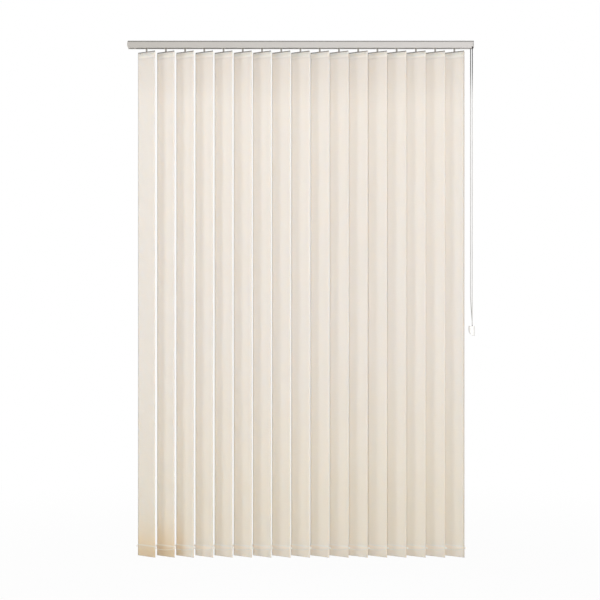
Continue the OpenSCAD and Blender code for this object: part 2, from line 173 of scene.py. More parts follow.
def lengths(path):
    """Distance along a path at each of its points: the running sum of its chords."""
    return np.concatenate([[0], np.cumsum(np.linalg.norm(np.diff(path, axis=-2), axis=-1))])


# %% Make the cord
CORD_STEP, CORD_SIDES = 0.003, 12
cord_path = smooth_path(CORD_ROUTE, CORD_STEP)
cord_along = lengths(cord_path)
cord_rings = tube_points(cord_path, np.full(len(cord_path), CORD_D / 2), CORD_SIDES, ALONG_RAIL)
cord_girth = np.arange(CORD_SIDES + 1) * math.pi * CORD_D / CORD_SIDES
cord = grid_piece("control_cord_braid", cord_rings[None], cord_along, cord_girth, tube=True)
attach(cord, "rail")
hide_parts("control_cord")
print("cord length", round(float(cord_along[-1]), 3), "m")

# %% [markdown]
# ## Where the slats hang
# Seventeen slats hang 80 mm apart and stand turned by 30 degrees, near edge to the right. A point of a
# slat is given in the slat's own measures: across it, out of its plane, and up. One function turns such
# points to the blind's frame, so every slat is the same cloth in another place.

# %% Slat measures
SLATS = 17
PITCH = 0.080
TURN = math.radians(30)
SLAT_W = 0.089
SLAT_TOP, SLAT_BOTTOM = -0.0482, -2.1434
TOP_POCKET, BOTTOM_POCKET, WELD = 0.026, 0.048, 0.005
CLOTH_T, POCKET_HALF = 0.00035, 0.001


def axis_x(k):
    """Place of slat k along the rail, counted from 1 at the left: the pitch times its distance from
    the middle slat."""
    return (k - (SLATS + 1) / 2) * PITCH


def to_blind(k, across, out, up):
    """Slat measures to the blind's frame: across runs to the right and forward, out runs to the back."""
    x = axis_x(k) + across * math.cos(TURN) + out * math.sin(TURN)
    y = -across * math.sin(TURN) + out * math.cos(TURN)
    return np.stack(np.broadcast_arrays(x, y, up), -1)


print("slat axes from", axis_x(1), "to", axis_x(SLATS))

# %% [markdown]
# ## The cloth of a slat
# A real slat is one strip of stiffened fabric. At the bottom it is folded up behind and welded, which
# makes the pocket of the weight; at the top a short flap is welded on for the hanger. A box with a
# bulge would show neither. So the cloth is drawn as a line seen from the side, carried across
# the width of the slat, and the Solidify modifier gives it its thickness.

# %% Side view of the cloth
def bend_line(corners, step):
    """Points at even steps along a line of corners in out and up, with the corners kept."""
    corners = np.array(corners)
    run = np.concatenate([[0], np.cumsum(np.linalg.norm(np.diff(corners, axis=0), axis=1))])
    place = np.unique(np.round(np.concatenate([np.arange(0, run[-1], step), run]), 7))
    return np.stack([np.interp(place, run, corners[:, 0]), np.interp(place, run, corners[:, 1])], -1), place


def fold(radius, centre_up, count):
    """Half a circle from the front layer under to the back layer, about a centre at the given height."""
    angle = np.linspace(math.pi, 2 * math.pi, count)
    return np.stack([radius * np.cos(angle), centre_up + radius * np.sin(angle)], -1)


FOLD_POINTS, STRIP_STEP, FLAP_STEP = 7, 0.030, 0.010
LAYER = POCKET_HALF - CLOTH_T / 2
FOLD_UP = SLAT_BOTTOM + CLOTH_T / 2 + LAYER
bottom_seam = SLAT_BOTTOM + BOTTOM_POCKET
top_seam = SLAT_TOP - TOP_POCKET
strip_corners = np.vstack([
    [[-LAYER, SLAT_TOP], [-LAYER, top_seam + WELD], [0, top_seam]],
    [[0, bottom_seam], [-LAYER, bottom_seam - WELD]],
    fold(LAYER, FOLD_UP, FOLD_POINTS),
    [[LAYER, bottom_seam - WELD], [CLOTH_T, bottom_seam]]])
flap_corners = [[LAYER, SLAT_TOP], [LAYER, top_seam + WELD], [CLOTH_T, top_seam]]
strip_line, strip_run = bend_line(strip_corners, STRIP_STEP)
flap_line, flap_run = bend_line(flap_corners, FLAP_STEP)
print("strip", round(float(strip_run[-1]), 3), "m, flap", round(float(flap_run[-1]), 3), "m")

# %% [markdown]
# Hung fabric is never quite flat. Between its two stiff ends a slat bows a little across its width and
# wanders slowly out of plane. A cloth simulation could do this, but stiffened cloth under a
# weight moves by less than a millimetre, so two slow waves, fading to nothing at the pockets, are enough
# and keep each slat clear of its neighbours when the blind is drawn aside.

# %% Hang the slats
ACROSS_POINTS, FADE_H, BOW = 15, 0.25, 0.0005
# Each slow wave: its height, its radians per metre, and its shift from one slat to the next
WAVES = ((0.00022, 5.1, 1.7), (0.00012, 11.3, 2.9))


def hang(k, line):
    """Points of a cloth strip on slat k: the side view's line at each step across the slat, moved out by
    a bow (one minus the square of the place across) and the slow waves, both times a fade that is
    zero at the pockets and one in the long middle."""
    across = np.linspace(-SLAT_W / 2, SLAT_W / 2, ACROSS_POINTS)
    up = line[:, 1]
    fade = np.clip((top_seam - up) / FADE_H, 0, 1) * np.clip((up - bottom_seam) / FADE_H, 0, 1)
    fade = fade * fade * (3 - 2 * fade)
    wave = sum(size * np.sin(up * rate + k * shift) for size, rate, shift in WAVES)
    bow = BOW * (1 - (2 * across / SLAT_W) ** 2)
    out = line[:, 0][:, None] + fade[:, None] * (wave[:, None] + bow[None, :])
    return to_blind(k, across[None, :], out, up[:, None]), across


def cloth_slat(k):
    """One slat: the long strip with its folded pocket, and the flap of the upper pocket."""
    name = f"slat_{k:02d}"
    strip_points, across = hang(k, strip_line)
    strip = grid_piece(name + "_cloth", strip_points[None], strip_run, across)
    flap_points, across = hang(k, flap_line)
    flap = grid_piece(name + "_flap", flap_points[None], flap_run, across)
    for piece in (strip, flap):
        thick = piece.modifiers.new("cloth thickness", "SOLIDIFY")
        thick.thickness = CLOTH_T
        thick.offset = 0
        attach(piece, f"louvre_{k:02d}")
    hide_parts(name)
    return strip, flap


slat_pieces = [cloth_slat(k) for k in range(1, SLATS + 1)]
print("hung", len(slat_pieces), "slats")

# %% [markdown]
# ## The bottom chains
# A fine bead chain links the weights along the front and along the back, and sags a little between two
# slats. Separate balls would be thousands of objects. Here each span is one tube whose radius swells and
# narrows along the path, like beads on a thread, and all sixteen spans are one mesh.

# %% Chain measures
PEG_UP = -2.1049
PEG_OUT, PEG_D, PEG_GAP = 0.0045, 0.0024, 0.0003
PEG_REACH = SLAT_W / 2 + PEG_OUT
CHAIN_D, CHAIN_SAG, CHAIN_OUT, THREAD_R = 0.0016, 0.006, 0.0021, 0.00032
BEADS, BEAD_POINTS, CHAIN_SIDES = 24, 8, 8
# Chord of a span, the pitch less a peg and two gaps, and the radius of an arc that sags by the given depth
# over it
chord = PITCH - PEG_D - 2 * PEG_GAP
chain_r = (chord**2 / 4 + CHAIN_SAG**2) / (2 * CHAIN_SAG)


def chain_spans(side):
    """Centre lines of the sixteen spans. Each is an arc through two pegs: the height is the peg's,
    less what the circle of the span's radius hangs below its chord at that place. The chain leaves
    the clip on its outer side, so it passes the edge of the slat when the slats are closed."""
    swing = math.asin(chord / 2 / chain_r)
    angle = np.linspace(-swing, swing, BEADS * BEAD_POINTS + 1)
    first = axis_x(1) + side * PEG_REACH * math.cos(TURN) + PITCH / 2
    x = first + PITCH * np.arange(SLATS - 1)[:, None] + chain_r * np.sin(angle)[None, :]
    z = PEG_UP - (chain_r * np.cos(angle) - math.sqrt(chain_r**2 - chord**2 / 4))
    y = -side * (PEG_REACH * math.sin(TURN) + CHAIN_OUT)
    return np.stack(np.broadcast_arrays(x, y, z[None, :]), -1), chain_r * (angle - angle[0])


def bead_radius(run):
    """Radius along the chain: that of a ball within each bead's share of the length, and the
    thread's where the ball has ended."""
    bead = run[-1] / BEADS
    place = (run / bead - np.floor(run / bead - 1e-9)) - 0.5
    ball = np.sqrt(np.clip(1 - (2.0 * place) ** 2, 0, 1)) * CHAIN_D / 2
    return np.maximum(ball, THREAD_R)


# %% Make the chains
chains = {}
chain_girth = np.arange(CHAIN_SIDES + 1) * math.pi * CHAIN_D / CHAIN_SIDES
for side, body in ((1, "front_chain"), (-1, "rear_chain")):
    spans, run = chain_spans(side)
    radius = np.broadcast_to(bead_radius(run), spans.shape[:2])
    rings = tube_points(spans, radius, CHAIN_SIDES, TO_WINDOW)
    chain = grid_piece(body + "_beads", rings, run, chain_girth, tube=True)
    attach(chain, body)
    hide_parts(body)
    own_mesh(chain)
    chains[body] = chain

# %% [markdown]
# Each span ends in a small white clip on the peg of the weight. It is a flat oval ring with a rounded upright
# section, long across the slat and thin out of its plane, so that slats can lie close together when the blind
# is drawn aside. It moves with its own slat.

# %% Make the chain clips
CLIP_LONG, CLIP_THIN, CLIP_WALL, CLIP_H, CLIP_RAISE = 0.0036, 0.0014, 0.0022, 0.0072, 0.0015
CLIP_POINTS, CLIP_SIDES, CLIP_CORNERS = 20, 12, 0.6


def clip_rings(k):
    """Two rings on the pegs of slat k: an upright rounded section carried round an oval about the peg.
    The section is itself an oval whose sine and cosine are raised to a power below one, which fills
    its corners; its inner side lies one wall inside the outer one."""
    around = (np.arange(CLIP_POINTS) * 2 * math.pi / CLIP_POINTS)[:, None]
    small = (np.arange(CLIP_SIDES) * 2 * math.pi / CLIP_SIDES)[None, :]
    wide, tall = [np.sign(wave) * np.abs(wave) ** CLIP_CORNERS for wave in (np.cos(small), np.sin(small))]
    share = 1 - CLIP_WALL / 2 / CLIP_LONG * (1 - wide)
    up = PEG_UP + CLIP_RAISE - CLIP_H / 2 * tall
    return np.stack([to_blind(k, side * PEG_REACH + CLIP_LONG * share * np.cos(around),
                              CLIP_THIN * share * np.sin(around), up) for side in (1, -1)])


clip_girth = np.linspace(0, math.pi * (CLIP_LONG + CLIP_THIN), CLIP_POINTS + 1)
clip_section = np.linspace(0, 2 * (CLIP_WALL + CLIP_H), CLIP_SIDES + 1)
clips = []
for k in range(1, SLATS + 1):
    clip = grid_piece(f"chain_clips_{k:02d}", clip_rings(k), clip_girth, clip_section, tube=True, ring=True)
    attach(clip, f"louvre_{k:02d}")
    clips.append(clip)
print("set", 2 * len(clips), "clips on the pegs")

# %% [markdown]
# ## Node helpers
# The finishes are node networks. They could be wired by hand, a line for each link. A few small helpers
# keep the recipes readable instead: one adds a node with its settings and inputs, and the others make
# sums, ranges, mixtures and empty groups.

# %% Node helpers
def feed(tree, socket, value):
    """Links an input to another node's output, or sets it to a plain value."""
    if isinstance(value, bpy.types.NodeSocket):
        tree.links.new(value, socket)
    else:
        socket.default_value = value


def put(tree, kind, settings=None, **inputs):
    """Adds a node, gives it its settings and feeds its inputs. An input goes by its name, with
    underscores for spaces, or by its number, as in i0 and i1."""
    made = tree.nodes.new(kind)
    for key, value in (settings or {}).items():
        setattr(made, key, value)
    for key, value in inputs.items():
        numbered = key[0] == "i" and key[1:].isdigit()
        feed(tree, made.inputs[int(key[1:]) if numbered else key.replace("_", " ")], value)
    return made


def math_node(tree, operation, *values):
    """A Math node with the given values or links, returned as its output."""
    numbered = {f"i{n}": value for n, value in enumerate(values)}
    return put(tree, "ShaderNodeMath", {"operation": operation}, **numbered).outputs[0]


def map_range(tree, value, low, high, to_low=0.0, to_high=1.0, smooth=False):
    """A value carried from one range to another, clamped."""
    kind = {"interpolation_type": "SMOOTHSTEP" if smooth else "LINEAR"}
    return put(tree, "ShaderNodeMapRange", kind, Value=value, From_Min=low, From_Max=high,
               To_Min=to_low, To_Max=to_high).outputs["Result"]


def mix_colour(tree, factor, first, second):
    """Two colours mixed by a factor."""
    return put(tree, "ShaderNodeMix", {"data_type": "RGBA"}, i0=factor, i6=first, i7=second).outputs[2]


def linear(red, green, blue):
    """An 8-bit screen colour as linear light, with alpha: the inverse of the display curve."""
    value = np.array([red, green, blue]) / 255
    value = np.where(value <= 0.04045, value / 12.92, ((value + 0.055) / 1.055) ** 2.4)
    return (*[float(v) for v in value], 1.0)


def new_group(name, inputs, outputs):
    """An empty shader node group with named sockets: (name, socket kind, default)."""
    group = bpy.data.node_groups.new(name, "ShaderNodeTree")
    for label, kind, default in inputs:
        socket = group.interface.new_socket(label, in_out="INPUT", socket_type=kind)
        if default is not None:
            socket.default_value = default
    for label, kind in outputs:
        group.interface.new_socket(label, in_out="OUTPUT", socket_type=kind)
    return group, put(group, "NodeGroupInput").outputs, put(group, "NodeGroupOutput").inputs


print("node helpers ready")

# %% [markdown]
# ## Shared effects
# Some effects come back on several pieces, so each is a node group. Threads: a plain weave is one wave
# along the warp and one along the weft, each on top where the other dips. Grain: the fine, even
# roughness of moulded plastic and of paint. Dust: a thin pale film on whatever faces up. A fourth group,
# for the lines of drawn metal, comes with the rail.

# %% Thread weave
FLOAT, VECTOR = "NodeSocketFloat", "NodeSocketVector"
# Noise steps per metre along and across the cloth, for the thick places in the two sets of threads
WEFT_SLUBS, WARP_SLUBS = (900.0, 22.0, 1.0), (9.0, 700.0, 1.0)
weave, given, result = new_group(
    "thread_weave",
    [("Place", VECTOR, None), ("Threads along", FLOAT, 1200.0),
     ("Threads across", FLOAT, 1200.0), ("Slubs", FLOAT, 1.0)],
    [("Height", FLOAT), ("Tone", FLOAT)])
parts = put(weave, "ShaderNodeSeparateXYZ", Vector=given["Place"]).outputs
along = math_node(weave, "SINE", math_node(weave, "MULTIPLY", parts[0], math_node(
    weave, "MULTIPLY", given["Threads along"], 2 * math.pi)))
across = math_node(weave, "SINE", math_node(weave, "MULTIPLY", parts[1], math_node(
    weave, "MULTIPLY", given["Threads across"], 2 * math.pi)))
knots = math_node(weave, "MULTIPLY", along, across)
stretched = {"operation": "MULTIPLY"}
weft_place = put(weave, "ShaderNodeVectorMath", stretched, i0=given["Place"], i1=WEFT_SLUBS)
warp_place = put(weave, "ShaderNodeVectorMath", stretched, i0=given["Place"], i1=WARP_SLUBS)
weft = put(weave, "ShaderNodeTexNoise", Vector=weft_place.outputs[0], Scale=1.0, Detail=2.0).outputs[0]
warp = put(weave, "ShaderNodeTexNoise", Vector=warp_place.outputs[0], Scale=1.0, Detail=2.0).outputs[0]
uneven = math_node(weave, "SUBTRACT", math_node(weave, "ADD", weft, warp), 1.0)
slub = math_node(weave, "MULTIPLY", uneven, given["Slubs"])
weave.links.new(math_node(weave, "ADD", math_node(weave, "MULTIPLY", knots, 0.5), slub), result["Height"])
weave.links.new(math_node(weave, "ADD", math_node(weave, "MULTIPLY", knots, 0.35), slub), result["Tone"])
print("group", weave.name)

# %% Fine grain
grain, given, result = new_group(
    "fine_grain", [("Place", VECTOR, None), ("Grains per metre", FLOAT, 2500.0), ("Patch", FLOAT, 1.0)],
    [("Height", FLOAT), ("Tone", FLOAT)])
PATCHES_PER_METRE = 23.0
fine = put(grain, "ShaderNodeTexNoise", Vector=given["Place"], Scale=given["Grains per metre"],
           Detail=2.0).outputs[0]
broad = put(grain, "ShaderNodeTexNoise", Vector=given["Place"], Scale=PATCHES_PER_METRE,
            Detail=3.0).outputs[0]
patches = math_node(grain, "MULTIPLY", math_node(grain, "SUBTRACT", broad, 0.5), given["Patch"])
grain.links.new(fine, result["Height"])
grain.links.new(math_node(grain, "ADD", patches, math_node(
    grain, "MULTIPLY", math_node(grain, "SUBTRACT", fine, 0.5), 0.3)), result["Tone"])
print("group", grain.name)

# %% Settled dust
dust, given, result = new_group(
    "settled_dust", [("Place", VECTOR, None), ("Amount", FLOAT, 0.3)], [("Film", FLOAT)])
CLOUDS_PER_METRE = 60.0
normal = put(dust, "ShaderNodeNewGeometry").outputs["Normal"]
facing = put(dust, "ShaderNodeSeparateXYZ", Vector=normal).outputs[2]
upward = map_range(dust, facing, 0.3, 0.95)
cloud = put(dust, "ShaderNodeTexNoise", Vector=given["Place"], Scale=CLOUDS_PER_METRE, Detail=4.0).outputs[0]
settled = math_node(dust, "MULTIPLY", upward, map_range(dust, cloud, 0.3, 0.8))
dust.links.new(math_node(dust, "MULTIPLY", settled, given["Amount"]), result["Film"])
print("group", dust.name)

# %% [markdown]
# ## Finishes
# Each finish starts from a colour read off the photograph and adds what the real surface has:
# a tone that varies a little, a fine relief, and dust on what faces up. A helper starts a material with
# the Principled shader and the place on the piece.

# %% Material helper
def new_finish(name, **shader):
    """A material with a Principled shader. Values that are the same all over are set on its sockets."""
    material = bpy.data.materials.new(name)
    material.use_nodes = True
    tree = material.node_tree
    skin = tree.nodes["Principled BSDF"]
    for key, value in shader.items():
        skin.inputs[key.replace("_", " ")].default_value = value
    return material, tree, skin


def use_group(tree, group, **inputs):
    """Places a shared effect in a material with its own values."""
    made = tree.nodes.new("ShaderNodeGroup")
    made.node_tree = group
    for key, value in inputs.items():
        feed(tree, made.inputs[key.replace("_", " ")], value)
    return made.outputs


def object_place(tree):
    """The place on the piece, in metres."""
    return put(tree, "ShaderNodeTexCoord").outputs["Object"]


def relief(tree, skin, height, strength, distance):
    """A Bump node from a height to the shader's normal."""
    bump = put(tree, "ShaderNodeBump", Height=height, Strength=strength, Distance=distance)
    tree.links.new(bump.outputs[0], skin.inputs["Normal"])


def toned(tree, colour, tone, amount):
    """A colour made a little darker or lighter by a tone about zero: the colour times (one plus the
    tone times an amount)."""
    factor = math_node(tree, "ADD", math_node(tree, "MULTIPLY", tone, amount), 1.0)
    plain = colour if isinstance(colour, bpy.types.NodeSocket) else colour[:3]
    return put(tree, "ShaderNodeVectorMath", {"operation": "SCALE"}, i0=plain, Scale=factor).outputs[0]


print("material helpers ready")

# %% [markdown]
# The cloth of the slats is a cream plain weave, stiffened, with a few thicker threads. It is thin, so some
# light passes into it, which the subsurface part of the shader gives. One colour all over would look like
# card. The tone turns darker and warmer towards the bottom, a painted shade where less light reaches,
# and warmer still on the first slats at the left. Each pocket is painted paler, painted light in place of
# the light that its doubled cloth holds back. The weld of the lower pocket has a painted highlight where
# the pressed weld catches the light. A painted shadow of the rail darkens the tops of the slats, and the
# hem and the cut edges have painted shade, most of all the right edge of the last slat.

# %% Slat cloth
CREAM = linear(235, 227, 219)
LOW_SHADE_CREAM = linear(235, 225, 211)
UPPER_POCKET_LIGHT = linear(250, 240, 228)
LOWER_POCKET_LIGHT = linear(253, 234, 215)
OCHRE = linear(234, 208, 176)
WELD_HIGHLIGHT = linear(244, 238, 230)
CUT_EDGE_SHADE = linear(184, 172, 156)
LAST_EDGE_SHADE = linear(172, 163, 152)
HEM_SHADE = linear(170, 157, 140)
# Half the height of the soft step from one tone to the next at a pocket
STEP_H = 0.001
cloth, tree, skin = new_finish("slat_cloth", Roughness=0.85, Specular_IOR_Level=0.2, Sheen_Weight=0.12,
                               Sheen_Roughness=0.5, Subsurface_Weight=0.6, Subsurface_Scale=0.001,
                               Subsurface_Radius=(1.0, 0.85, 0.7))
uv = put(tree, "ShaderNodeUVMap", {"uv_map": "measure"}).outputs[0]
threads = use_group(tree, weave, Place=uv, Threads_along=1250.0, Threads_across=1400.0, Slubs=0.8)
place = object_place(tree)
spot = put(tree, "ShaderNodeSeparateXYZ", Vector=place).outputs
height = spot[2]
# Painted shade: darker and warmer towards the bottom, where less light reaches.
lower = map_range(tree, height, -1.1, -2.14, smooth=True)
base = mix_colour(tree, lower, CREAM, LOW_SHADE_CREAM)
# Painted light: the pockets are paler, in place of the light that their doubled cloth holds back.
upper = map_range(tree, height, top_seam + WELD - STEP_H, top_seam + WELD + STEP_H)
under = map_range(tree, height, bottom_seam - WELD + STEP_H, bottom_seam - WELD - STEP_H)
base = mix_colour(tree, upper, base, UPPER_POCKET_LIGHT)
base = mix_colour(tree, under, base, LOWER_POCKET_LIGHT)
leftmost = map_range(tree, spot[0], -0.44, -0.53, smooth=True)
lowest = math_node(tree, "POWER", map_range(tree, height, -1.90, -2.12), 2.0)
base = mix_colour(tree, math_node(tree, "MULTIPLY", leftmost, lowest), base, OCHRE)
# Painted highlight: a paler line along the weld of the lower pocket.
near_weld = math_node(tree, "ABSOLUTE", math_node(tree, "SUBTRACT", height, bottom_seam - WELD / 2))
weld_line = map_range(tree, near_weld, 0.0022, 0.0032, 1.0, 0.0)
base = mix_colour(tree, math_node(tree, "MULTIPLY", weld_line, 0.5), base, WELD_HIGHLIGHT)
# Painted shade: both cut edges of each slat are a little darker.
side_place = math_node(tree, "ABSOLUTE", put(tree, "ShaderNodeSeparateXYZ", Vector=uv).outputs[1])
edge = map_range(tree, side_place, SLAT_W / 2 - 0.0012, SLAT_W / 2 - 0.0004)
base = mix_colour(tree, math_node(tree, "MULTIPLY", edge, 0.15), base, CUT_EDGE_SHADE)
# Painted shade: the right edge of the last slat is darker still.
last_edge_shade = map_range(tree, spot[0], 0.6746, 0.6756, 0.0, 0.65)
base = mix_colour(tree, last_edge_shade, base, LAST_EDGE_SHADE)
# Painted shadow of the rail: the top of each slat is a shade darker.
shade = map_range(tree, height, -0.30, -0.10, 0.0, -0.08, smooth=True)
base = toned(tree, base, shade, 1.0)
# Painted shade: a dark line along the fold at the bottom hem.
hem = map_range(tree, height, SLAT_BOTTOM + 0.0028, SLAT_BOTTOM + 0.0008, 0.0, 0.45)
base = mix_colour(tree, hem, base, HEM_SHADE)
tree.links.new(toned(tree, base, threads["Tone"], 0.05), skin.inputs["Base Color"])
unpressed = math_node(tree, "SUBTRACT", 1.0, weld_line)
relief(tree, skin, math_node(tree, "MULTIPLY", threads["Height"], unpressed), 0.35, 0.0001)
for pair in slat_pieces:
    for piece in pair:
        piece.data.materials.append(cloth)
print("finish", cloth.name)

# %% [markdown]
# The rail is extruded aluminium with a satin light grey paint. Fine lines from the die run along it. A
# relief alone would hardly show at this distance, so the tone follows the lines too. The paint is a
# little paler towards the right-hand end, and the rounded shoulder along the top is painted darker, a
# painted shade where little light falls from above. The same lines, closer and bare, are on the tilt rod.

# %% Drawn lines
drawn, given, result = new_group(
    "drawn_lines", [("Place", VECTOR, None), ("Lines per metre", FLOAT, 900.0)], [("Height", FLOAT)])
# The noise is drawn out along the rail, so its grains become lines
DRAWN_OUT = (0.004, 1.0, 1.0)
scale = put(drawn, "ShaderNodeVectorMath", {"operation": "MULTIPLY"}, i0=given["Place"], i1=DRAWN_OUT)
lines = put(drawn, "ShaderNodeTexNoise", Vector=scale.outputs[0], Scale=given["Lines per metre"],
            Detail=3.0).outputs[0]
drawn.links.new(lines, result["Height"])
print("group", drawn.name)

# %% Rail paint
RAIL_END = 0.72
SHOULDER_LOW, SHOULDER_HIGH = -0.0074, -0.0054
RAIL_LEFT, RAIL_RIGHT = linear(177, 173, 167), linear(196, 192, 189)
RAIL_DUST = linear(222, 219, 212)
rail, tree, skin = new_finish("rail_paint", Roughness=0.42, Specular_IOR_Level=0.4, Coat_Weight=0.15,
                              Coat_Roughness=0.35)
place = object_place(tree)
lines = use_group(tree, drawn, Place=place, Lines_per_metre=900.0)
specks = use_group(tree, grain, Place=place, Grains_per_metre=1800.0, Patch=0.6)
film = use_group(tree, dust, Place=place, Amount=0.35)
sides = put(tree, "ShaderNodeSeparateXYZ", Vector=place).outputs
paint = mix_colour(tree, map_range(tree, sides[0], -RAIL_END, RAIL_END), RAIL_LEFT, RAIL_RIGHT)
# Painted shade: the rounded shoulder along the top is darker, as if little light came from above.
shoulder = map_range(tree, sides[2], SHOULDER_LOW, SHOULDER_HIGH, 0.0, -0.56, smooth=True)
paint = toned(tree, paint, shoulder, 1.0)
paint = toned(tree, paint, specks["Tone"], 0.08)
paint = toned(tree, paint, math_node(tree, "SUBTRACT", lines["Height"], 0.5), 0.05)
tree.links.new(mix_colour(tree, film["Film"], paint, RAIL_DUST), skin.inputs["Base Color"])
tree.links.new(map_range(tree, film["Film"], 0.0, 0.4, 0.42, 0.75), skin.inputs["Roughness"])
fine_relief = math_node(tree, "MULTIPLY", specks["Height"], 0.4)
relief(tree, skin, math_node(tree, "ADD", lines["Height"], fine_relief), 0.12, 0.0002)


def dress(material, *names):
    """Puts a material in the slots of each named node, and leaves the shape of its mesh as it is."""
    for name in names:
        piece = nodes[name]
        if not piece.material_slots:
            piece.data.materials.append(material)
        for slot in piece.material_slots:
            slot.link = "OBJECT"
            slot.material = material


dress(rail, "headrail")
print("finish", rail.name)

# %% [markdown]
# End caps, carriers, hooks and hangers, cord weight, chains and their clips are moulded plastic. Each could
# have a material written out in full. They share one recipe: a fine even grain from the mould, a slight
# change of tone, and dust on top. Only colour, gloss and grain differ, so a function makes them.

# %% Moulded plastic
PLASTIC_DUST = linear(216, 212, 204)


def moulded(name, colour, roughness, grains, tone, film_amount, **shader):
    """Plastic with mould grain: colour times a patchy tone, paler where dust lies, and a fine relief."""
    material, tree, skin = new_finish(name, **shader)
    place = object_place(tree)
    specks = use_group(tree, grain, Place=place, Grains_per_metre=grains, Patch=1.0)
    film = use_group(tree, dust, Place=place, Amount=film_amount)
    base = toned(tree, colour(tree, place) if callable(colour) else colour, specks["Tone"], tone)
    tree.links.new(mix_colour(tree, film["Film"], base, PLASTIC_DUST), skin.inputs["Base Color"])
    rough = math_node(tree, "ADD", math_node(tree, "MULTIPLY", specks["Height"], 0.16), roughness - 0.08)
    tree.links.new(rough, skin.inputs["Roughness"])
    relief(tree, skin, specks["Height"], 0.15, 0.0001)
    return material


def fittings_colour(tree, place):
    """Grey hooks, hangers a darker grey above the cloth, and white plates and weights in the pockets."""
    height = put(tree, "ShaderNodeSeparateXYZ", Vector=place).outputs[2]
    on_hanger = map_range(tree, height, SLAT_TOP + 0.0050, SLAT_TOP + 0.0036)
    in_pocket = map_range(tree, height, SLAT_TOP + 0.0005, SLAT_TOP - 0.0005)
    grey = mix_colour(tree, on_hanger, linear(150, 146, 140), linear(104, 99, 93))
    return mix_colour(tree, in_pocket, grey, linear(238, 235, 230))


def cap_colour(tree, place):
    """Caps in the grey of the rail at either end, with its painted shade on the shoulder, painted
    light that makes the underside paler, and a darker rim where the right-hand face begins."""
    spot = put(tree, "ShaderNodeSeparateXYZ", Vector=place).outputs
    along = map_range(tree, spot[0], -RAIL_END, RAIL_END)
    plain = mix_colour(tree, along, linear(181, 177, 171), linear(197, 193, 190))
    # Painted shade on the shoulder, as on the rail.
    shoulder = map_range(tree, spot[2], SHOULDER_LOW, SHOULDER_HIGH, 0.0, -0.5, smooth=True)
    # Painted light: the underside is paler than its lighting makes it.
    underside = map_range(tree, spot[2], -0.0298, -0.0308, 0.0, 0.5)
    rim = map_range(tree, spot[0], 0.7145, 0.717, 0.0, -0.4, smooth=True)
    for shade in (shoulder, underside, rim):
        plain = toned(tree, plain, shade, 1.0)
    return plain


# %% Plastic pieces
IVORY, WHITE_PLASTIC, BRIGHT_WHITE = linear(228, 222, 205), linear(236, 235, 231), linear(255, 250, 241)
cap_plastic = moulded("cap_plastic", cap_colour, 0.55, 2600.0, 0.06, 0.3, Specular_IOR_Level=0.4)
carrier_plastic = moulded("carrier_plastic", IVORY, 0.5, 2200.0, 0.06, 0.25, Specular_IOR_Level=0.4)
fittings_plastic = moulded("fittings_plastic", fittings_colour, 0.42, 2400.0, 0.06, 0.25,
                           Specular_IOR_Level=0.45)
white_plastic = moulded("white_plastic", WHITE_PLASTIC, 0.32, 2600.0, 0.05, 0.2, Specular_IOR_Level=0.5,
                        Coat_Weight=0.1)
clip_plastic = moulded("clip_plastic", BRIGHT_WHITE, 0.4, 2600.0, 0.02, 0.0, Specular_IOR_Level=0.5)
dress(cap_plastic, "idle_end_cap", "control_end_cap")
dress(carrier_plastic, *[f"carrier_{k:02d}" for k in range(1, SLATS + 1)])
dress(fittings_plastic, *[f"slat_fittings_{k:02d}" for k in range(1, SLATS + 1)])
dress(white_plastic, "cord_weight")
for piece in chains.values():
    piece.data.materials.append(white_plastic)
for piece in clips:
    piece.data.materials.append(clip_plastic)
plastics = (cap_plastic, carrier_plastic, fittings_plastic, white_plastic, clip_plastic)
print("finishes", [material.name for material in plastics])

# %% [markdown]
# The brackets are plated sheet steel, which is dull and a little cloudy, and the tilt rod is drawn
# aluminium. Both are metals, so their colour is in the reflection.

# %% Bare metals
plated, tree, skin = new_finish("bracket_steel", Metallic=1.0)
place = object_place(tree)
specks = use_group(tree, grain, Place=place, Grains_per_metre=900.0, Patch=1.6)
film = use_group(tree, dust, Place=place, Amount=0.3)
tree.links.new(toned(tree, linear(186, 187, 186), specks["Tone"], 0.25), skin.inputs["Base Color"])
dulled = math_node(tree, "ADD", film["Film"], 0.28)
rough = math_node(tree, "ADD", math_node(tree, "MULTIPLY", specks["Height"], 0.25), dulled)
tree.links.new(rough, skin.inputs["Roughness"])
relief(tree, skin, specks["Height"], 0.1, 0.0001)
dress(plated, "ceiling_brackets")

rod, tree, skin = new_finish("rod_aluminium", Metallic=1.0)
place = object_place(tree)
lines = use_group(tree, drawn, Place=place, Lines_per_metre=3000.0)
specks = use_group(tree, grain, Place=place, Grains_per_metre=1500.0, Patch=1.0)
tree.links.new(toned(tree, linear(200, 200, 202), specks["Tone"], 0.15), skin.inputs["Base Color"])
tree.links.new(map_range(tree, lines["Height"], 0.2, 0.8, 0.25, 0.5), skin.inputs["Roughness"])
relief(tree, skin, lines["Height"], 0.2, 0.0001)
dress(rod, "tilt_rod")
print("finishes", plated.name, rod.name)

# %% [markdown]
# The cord is a braid of pale yarn. Its upper end, which runs over the drum and through the outlets, is
# dark grey, and the grey fades out a hand's width or two below the rail. Where it enters the weight it
# is painted grey, a painted shade of the hole. The braid is the weave of the slats with fewer threads, set
# at a slant on the cord's own UV map.

